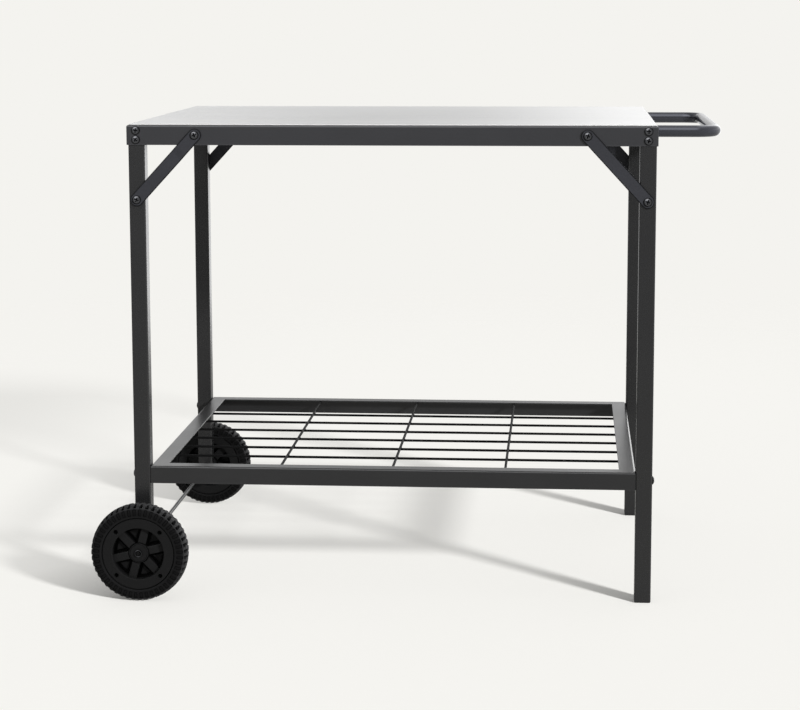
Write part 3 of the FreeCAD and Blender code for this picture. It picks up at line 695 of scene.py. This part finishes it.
# half of the tyre's section, as radius and distance out: tread, shoulder, side wall, lip and bore
tyreHalf = np.array([
    [75.0, 0.0], [74.99, 0.55], [74.98, 0.8], [74.97, 1.15], [74.93, 2.2], [74.8, 4.4], [74.6, 6.2],
    [74.27, 8.6], [74.2, 9.0], [74.13, 9.4], [73.85, 11.4], [73.35, 14.0], [73.0, 15.3], [72.8, 15.8],
    [72.5, 16.2], [72.2, 16.45], [71.9, 16.7], [71.6, 16.9], [71.1, 17.2], [70.6, 17.5], [70.2, 17.75],
    [69.8, 17.97], [69.4, 18.18], [69.0, 18.4], [68.0, 18.95], [67.1, 19.45], [66.4, 19.75], [65.6, 19.9],
    [64.6, 19.97], [63.4, 20.0], [62.2, 20.0], [61.2, 20.0], [60.75, 20.0], [60.35, 20.0], [60.0, 20.0],
    [59.4, 20.0], [57.7, 19.95], [57.0, 19.7], [56.4, 19.1], [56.1, 18.2], [56.0, 17.0], [56.0, 8.0]])
# grid lines across half a pitch, close together where the walls of notches and slots stand
lugPlaces = np.array([0, 0.09, 0.145, 0.17, 0.195, 0.22, 0.245, 0.27, 0.295, 0.325, 0.36, 0.43])


# distance to a box with round corners, less than nothing inside it
def roundedBox(aside, half, run, start, stop, corner):
    over = aside - (half - corner)
    past = np.maximum(start + corner - run, run - (stop - corner))
    return np.hypot(over.clip(0), past.clip(0)) + np.minimum(np.maximum(over, past), 0) - corner


# grooves from the middle of the tread that end in notches sunk through the shoulder, and shallow slots on the
# side wall: each is a rounded box along the section, and the two sides are half a pitch apart
def tyreSurface(row):
    steps = np.linalg.norm(np.diff(tyreHalf, axis=0), axis=1)
    halfRun = np.concatenate([[0], np.cumsum(steps)])
    section = np.concatenate([tyreHalf, tyreHalf[:0:-1] * (1, -1)])
    run = np.concatenate([halfRun, halfRun[:0:-1]])[:, None]
    shift = np.where(np.arange(len(section)) < len(tyreHalf), 0.5, 0.0)[:, None]
    slope = np.roll(section, -1, 0) - np.roll(section, 1, 0)
    normal = np.stack([-slope[:, 1], slope[:, 0]], -1) / np.linalg.norm(slope, axis=1)[:, None]
    normal *= np.sign((normal * (section - (tyre["middle"], 0.0))).sum(1))[:, None]
    places = np.concatenate([lugPlaces, [0.5], 1 - lugPlaces[:0:-1]])
    angle = (np.arange(tyre["lugs"])[:, None] + places).ravel() * 2 * np.pi / tyre["lugs"]
    phase = np.tile(places, tyre["lugs"])
    aside = abs((phase - shift + 0.5) % 1 - 0.5) * 2 * np.pi * section[:, :1] / tyre["lugs"]
    first, last = np.interp(-np.array(tyre["slotRadius"]), -tyreHalf[:, 0], halfRun)
    soft, corner = tyre["soft"], tyre["treadCorner"]
    notch = smooth(soft, -soft, roundedBox(aside, tyre["notchHalf"], run, *tyre["notchRun"], corner))
    groove = smooth(soft, -soft, roundedBox(aside, tyre["grooveHalf"], run, *tyre["grooveRun"], corner))
    away = roundedBox(aside, tyre["slotHalf"], run, first, last, tyre["slotCorner"])
    slot = smooth(soft, -soft, away)
    outline = smooth(*tyre["slotLine"], abs(away + tyre["slotLine"][1]))
    # painted shade: notches black, slot outlines, slot floors and grooves darker
    shallow = tyre["slotOutlineShade"] * outline + tyre["slotShade"] * slot + tyre["grooveShade"] * groove
    paintedShade = np.maximum(notch, shallow)
    # painted sheen across the tread's middle and painted highlights on the shoulder ribs and the lip, none in
    # notches, grooves or slots
    shoulder = smooth(*tyre["shoulderStart"], run) * smooth(*tyre["shoulderEnd"], run)
    sheen = tyre["treadSheen"] * smooth(*tyre["treadEnd"], run) + tyre["shoulderSheen"] * shoulder
    lip = abs(section[:, :1] - tyre["lipRadius"]) < tyre["lipHalf"]
    edge = (1 - np.maximum(notch, groove) - slot) * sheen + tyre["lipSheen"] * lip
    sink = np.maximum(tyre["notchDepth"] * notch, tyre["grooveDepth"] * groove) + tyre["slotDepth"] * slot
    sunk = section[:, None] - normal[:, None] * sink[..., None]
    grid = wheelPlace(row, sunk[..., 0], angle[None], sunk[..., 1])
    return surface(grid, edge, np.clip(paintedShade, 0, 1), True)


# radii of the rim's grid, from the bore outwards; the front has close rows where its holes lie
hubRadii = [3.05, 3.5, 6.0, 9.0, 11.5, 12.6, 12.9, 13.05, 13.3, 13.5, 13.7, 14.2, 14.6, 14.8, 14.9, 15.05]
windowRadii = [15.6, 16.6, 18.0, 19.5, 21.0, 22.5, 24.0, 26.0, 28.0, 30.0, 31.5, 33.0, 34.2, 35.0, 35.6,
               36.2, 37.0, 38.0, 38.9, 39.5, 39.85, 40.0, 40.1, 40.35, 40.7, 41.2, 42.2]
holeRows, plainRows = [43.4] + list(np.arange(44.2, 51.9, 0.36)), [46.0, 50.0]
discRadii = [53.0, 54.0, 54.6, 54.9, 55.2, 55.5, 55.75, 55.9]
# the hub's collar as radius and depth below its face
collar = np.array([[3.05, 0.4], [3.5, 0.0], [12.6, 0.0], [12.95, 0.2], [13.1, 0.9], [13.5, 0.9], [13.7, 0.5],
                   [14.6, 0.6], [14.9, 1.3]])
# where painted shade darkens recesses and painted highlights light edges: the radii or shares between which
# each mark rises, then its weight
rimMarks = dict(collarIn=(12.9, 13.1), collarOut=(13.75, 13.5), collarShade=0.9, discLine=(54.7, 55.3),
                hubEdge=(13.6, 13.8), windowEdge=(40.8, 40.2), rimEdgeHighlight=0.5, spokeEdge=(0.47, 0.5),
                spokeEnd=0.505, spokeFacePale=0.2, spokeEdgeHighlight=0.7)


# the rim's front or back as height over radius and angle: the disc with its holes, the window, six spokes
# whose edges lie on grid lines, pockets with a raised island in a moat, and the collared hub
def rimFace(radii, hubHigh, holes):
    r = np.array(radii)[:, None]
    u = np.linspace(-1, 1, rim["cols"], endpoint=False)[None]
    side, bound, inside = abs(u), np.pi / rim["spokes"], np.clip(r, rim["hub"], None)
    lip, foot = np.arcsin(rim["spokeHalf"] / inside), np.arcsin((rim["spokeHalf"] + rim["draft"]) / inside)
    onLip, onFoot = rim["lipShare"], rim["footShare"]
    warped = np.where(side < onLip, side / onLip * lip, np.where(
        side < onFoot, lip + (side - onLip) / (onFoot - onLip) * (foot - lip),
        foot + (side - onFoot) / (1 - onFoot) * (bound - foot)))
    even = smooth(*rim["evenRadii"], r)
    warped = warped * (1 - even) + side * bound * even
    turns = [np.sign(u) * warped + i * 2 * bound for i in range(rim["spokes"])]
    angle = np.concatenate(turns, 1) + math.radians(rim["spokeAngle"])
    lean, offset = np.tile(side, rim["spokes"]), np.tile(warped, rim["spokes"])
    spoke = 1 - smooth(onLip, onFoot, lean)
    gap = np.minimum(r * np.sin(offset) - rim["spokeHalf"], np.minimum(r - rim["hub"], rim["window"] - r))
    island = smooth(rim["islandGap"] - rim["islandSoft"], rim["islandGap"] + rim["islandSoft"], gap)
    floor = rim["moat"] + (rim["island"] - rim["moat"]) * island
    bevel = smooth(rim["bevelShare"], onLip, lean) * spoke
    hubDrop = np.interp(r, collar[:, 0], collar[:, 1])
    bend = rim["windowRound"]
    windowDrop = bend * (1 - np.sqrt(np.clip(1 - ((rim["window"] + bend - r).clip(0) / bend) ** 2, 0, 1)))
    disc = rim["side"] - windowDrop - rim["lineDrop"] * smooth(*rim["lineRadii"], r)
    root = smooth(*rim["rootRadii"], r)
    well = floor + spoke * (rim["spokeFace"] - rim["bevelDrop"] * bevel - rim["rootDrop"] * root - floor)
    onHub, onDisc = r < rim["hub"] + rim["hubMargin"], r > rim["window"] - rim["windowMargin"]
    height = np.where(onHub, hubHigh - hubDrop, np.where(onDisc, disc, well)) + 0 * angle
    marks = rimMarks
    # painted shade: dark rings in the collar's groove and at the disc's line, dark pocket floors round a
    # paler island, darker spoke roots and holes
    ringLine = smooth(*marks["collarIn"], r) * smooth(*marks["collarOut"], r) * marks["collarShade"]
    ringLine = ringLine + smooth(*marks["discLine"], r)
    pocket = np.maximum((1 - spoke) * (1 - rim["islandPale"] * island), root)
    paintedShade = np.where(onHub | onDisc, ringLine, pocket) + 0 * angle
    # painted highlights on the hub's and the window's edges and along the spokes' edges, over spoke faces
    # made a little paler
    spokeEdge = marks["spokeFacePale"] + marks["spokeEdgeHighlight"] * smooth(*marks["spokeEdge"], lean)
    edge = np.where(onHub, marks["rimEdgeHighlight"] * smooth(*marks["hubEdge"], r), np.where(
        onDisc, marks["rimEdgeHighlight"] * smooth(*marks["windowEdge"], r),
        spokeEdge * (lean < marks["spokeEnd"]))) + 0 * angle
    if holes:
        at = math.radians(rim["holeAngle"]) + np.arange(rim["holes"]) * 2 * np.pi / rim["holes"]
        far = np.min([np.hypot(r * np.cos(angle) - rim["holeCircle"] * math.cos(t),
                               r * np.sin(angle) - rim["holeCircle"] * math.sin(t)) for t in at], 0)
        sunk = smooth(rim["holeRadius"] + rim["holeSoft"], rim["holeRadius"] - rim["holeSoft"], far)
        height, paintedShade = height - rim["holeDepth"] * sunk, np.maximum(paintedShade, sunk)
    return r + 0 * angle, angle, height, edge, paintedShade


# the front outwards, the drum, the back inwards and the bore, as one closed surface
def rimSurface(row):
    front = rimFace(hubRadii + windowRadii + holeRows + discRadii, rim["hubFront"], True)
    rear = rimFace(hubRadii + windowRadii + plainRows + discRadii, rim["hubBack"], False)
    radius, angle, out, edge, paintedShade = (np.concatenate([a, b[::-1]]) for a, b in zip(front, rear))
    out[len(front[0]):] *= -1
    return surface(wheelPlace(row, radius, angle, out), edge, paintedShade, True)


for row in ("front", "rear"):
    dress(row + "_tyre", [tyreSurface(row)], row + "_wheel", sharp=48)
    dress(row + "_rim", [rimSurface(row)], row + "_wheel", sharp=40)
print("wheels")

# floor, light and camera
stage = dict(floorRadius=3.4, floorRings=9, floorSides=64, fadeStart=1.7, fadeShare=0.96,
             floorColour=(0.934, 0.925, 0.891), floorShine=0.55, glowNear=0.15, glowUnder=0.47, glowLeft=0.35,
             glowSpan=(0.45, 0.75), touchSpan=(0.03, 0.25), backColour=(0.905, 0.896, 0.863), ambient=0.30,
             shineFront=0.45, shineLeft=0.695, shineRight=0.99, shineSide=2.7, shineFar=-0.31, highFar=1.25,
             highRight=0.55, softbox=3.0, sunPower=5.9, sunAngle=6.5, sunTowards=(-0.66, 0.65, -0.375))
# where each light of the room starts and is full, as the direction's own share along X, Y or Z
room = dict(depth=(-0.6, 0.55), right=(-0.045, 0.03), sideIn=(0.08, 0.18), sideOut=(0.6, 0.14),
            farIn=(-0.1, -0.18), farOut=(-0.45, -0.25), highIn=(0.09, 0.2), highOut=(0.38, 0.27),
            highRight=(-0.02, 0.03), boxHigh=(0.34, 0.56), boxFront=(0.12, 0.36), boxLeft=(0.28, -0.06))


# rings of a flat disc that fades out towards its rim, so that no edge shows; the camera sees shadows that are
# full at the feet and the front wheel and fainter further off, and reflections see the floor darker
def floorDisc():
    rings, sides = stage["floorRings"], stage["floorSides"]
    r, a = np.meshgrid(np.linspace(0, stage["floorRadius"], rings),
                       np.linspace(0, 2 * np.pi, sides, endpoint=False), indexing="ij")
    points = np.stack([r * np.cos(a), r * np.sin(a), r * 0], -1).reshape(-1, 3)
    mesh = bpy.data.meshes.new("floor")
    mesh.from_pydata(points.tolist(), [], gridQuads(rings, sides)[:, ::-1].tolist())
    material, f = newMaterial("pale floor")
    reach = f.node("ShaderNodeVectorMath", {"operation": "LENGTH"}, {0: f.place()}, "Value")
    solid = 1 - f.clip(reach, stage["fadeStart"], stage["floorRadius"] * stage["fadeShare"])
    seen = f.node("ShaderNodeLightPath", out="Is Camera Ray")
    gloss = f.node("ShaderNodeLightPath", out="Is Glossy Ray")
    tone = f.blend(gloss, shade(stage["floorColour"], 1), shade(stage["floorColour"], stage["floorShine"]))
    matt = f.node("ShaderNodeBsdfDiffuse", {}, {"Color": tone})
    glow = f.node("ShaderNodeEmission", {}, {"Color": stage["backColour"] + (1,)})
    clear = f.node("ShaderNodeBsdfTransparent")
    left = f.along(f.place(), (-1, 0, 0))
    glowing = stage["glowNear"] + stage["glowLeft"] * f.clip(left, *stage["glowSpan"])
    away = 1.0
    for node in ("front_right_foot", "rear_right_foot", "front_tyre"):
        low, high = boxOf(node)
        touch = ((low[0] + high[0]) / 2, (low[1] + high[1]) / 2, 0)
        gap = f.node("ShaderNodeVectorMath", {"operation": "DISTANCE"}, {0: f.place(), 1: touch}, "Value")
        away = f.clip(gap, *stage["touchSpan"]) * away
    glowing = glowing + (stage["glowUnder"] - stage["glowNear"]) * away
    evened = f.node("ShaderNodeMixShader", {}, {0: seen * glowing, 1: matt, 2: glow})
    mixed = f.node("ShaderNodeMixShader", {}, {0: solid, 1: clear, 2: evened})
    f.node("ShaderNodeOutputMaterial", {}, {"Surface": mixed})
    mesh.materials.append(material)
    disc = bpy.data.objects.new("floor", mesh)
    bpy.context.scene.collection.objects.link(disc)


# a pale room: one colour for the camera; reflections see a dimmer front, a brighter back and a softbox above
def studio():
    world = bpy.data.worlds.new("studio")
    bpy.context.scene.world = world
    world.use_nodes = True
    f = Finish(world.node_tree)
    seen = f.node("ShaderNodeLightPath", out="Is Camera Ray")
    mirrored = f.node("ShaderNodeLightPath", out="Is Glossy Ray")
    gloss = mirrored + f.node("ShaderNodeLightPath", out="Is Transmission Ray")
    way = f.node("ShaderNodeTexCoord", out="Generated")
    depth = f.clip(f.along(way, (0, 1, 0)), *room["depth"])
    right, high = f.along(way, (1, 0, 0)), f.along(way, (0, 0, 1))
    back = stage["shineLeft"] + (stage["shineRight"] - stage["shineLeft"]) * f.clip(right, *room["right"])
    beside = stage["shineSide"] - stage["shineRight"]
    back = back + beside * f.clip(right, *room["sideIn"]) * f.clip(right, *room["sideOut"])
    far = f.clip(right, *room["farIn"]) * f.clip(right, *room["farOut"])
    raised = f.clip(high, *room["highIn"]) * f.clip(high, *room["highOut"])
    back = back + (stage["shineFar"] + stage["highFar"] * raised) * far
    back = back + stage["highRight"] * raised * f.clip(right, *room["highRight"])
    front = f.clip(f.along(way, (0, -1, 0)), *room["boxFront"])
    box = f.clip(high, *room["boxHigh"]) * front * f.clip(right, *room["boxLeft"])
    shine = (1 - depth) * stage["shineFront"] + depth * back + stage["softbox"] * box
    strength = seen + (1 - seen) * (gloss * shine + (1 - gloss) * stage["ambient"])
    colour = f.blend(seen, (1, 1, 1, 1), stage["backColour"] + (1,))
    light = f.node("ShaderNodeBackground", {}, {"Color": colour, "Strength": strength})
    f.node("ShaderNodeOutputWorld", {}, {"Surface": light})


# one distant lamp from the front right; it gives shadows, and the room alone gives the reflections
def keyLamp():
    lamp = bpy.data.lights.new("key", "SUN")
    lamp.energy, lamp.angle = stage["sunPower"], math.radians(stage["sunAngle"])
    key = bpy.data.objects.new("key", lamp)
    key.rotation_mode = "QUATERNION"
    key.rotation_quaternion = Vector(stage["sunTowards"]).to_track_quat("-Z", "Y")
    key.visible_glossy = False
    bpy.context.scene.collection.objects.link(key)


lens = dict(place=(0.24515, -3.5022, 0.9043), focal=2143.0, yaw=-4.469, pitch=7.916, roll=-0.116, axisRow=305,
            sensor=36, width=800, height=710)


# turned about Z by yaw, tipped down by pitch, with the optical axis a little above the middle row
def viewCamera():
    yaw, pitch, roll = (math.radians(lens[k]) for k in ("yaw", "pitch", "roll"))
    ahead = np.array([math.sin(yaw) * math.cos(pitch), math.cos(yaw) * math.cos(pitch), -math.sin(pitch)])
    right = np.array([math.cos(yaw), -math.sin(yaw), 0])
    up = np.cross(right, ahead)
    right, up = math.cos(roll) * right + math.sin(roll) * up, math.cos(roll) * up - math.sin(roll) * right
    data = bpy.data.cameras.new("camera")
    data.sensor_width, data.lens = lens["sensor"], lens["sensor"] * lens["focal"] / lens["width"]
    data.shift_y = (lens["axisRow"] - lens["height"] / 2) / lens["width"]
    camera = bpy.data.objects.new("camera", data)
    turned = Matrix(np.stack([right, up, -ahead], 1).tolist()).to_4x4()
    turned.translation = lens["place"]
    camera.matrix_world = turned
    bpy.context.scene.collection.objects.link(camera)
    bpy.context.scene.camera = camera


floorDisc()
studio()
keyLamp()
viewCamera()
bpy.context.scene.view_settings.view_transform = "Standard"
print("stage, light and camera")
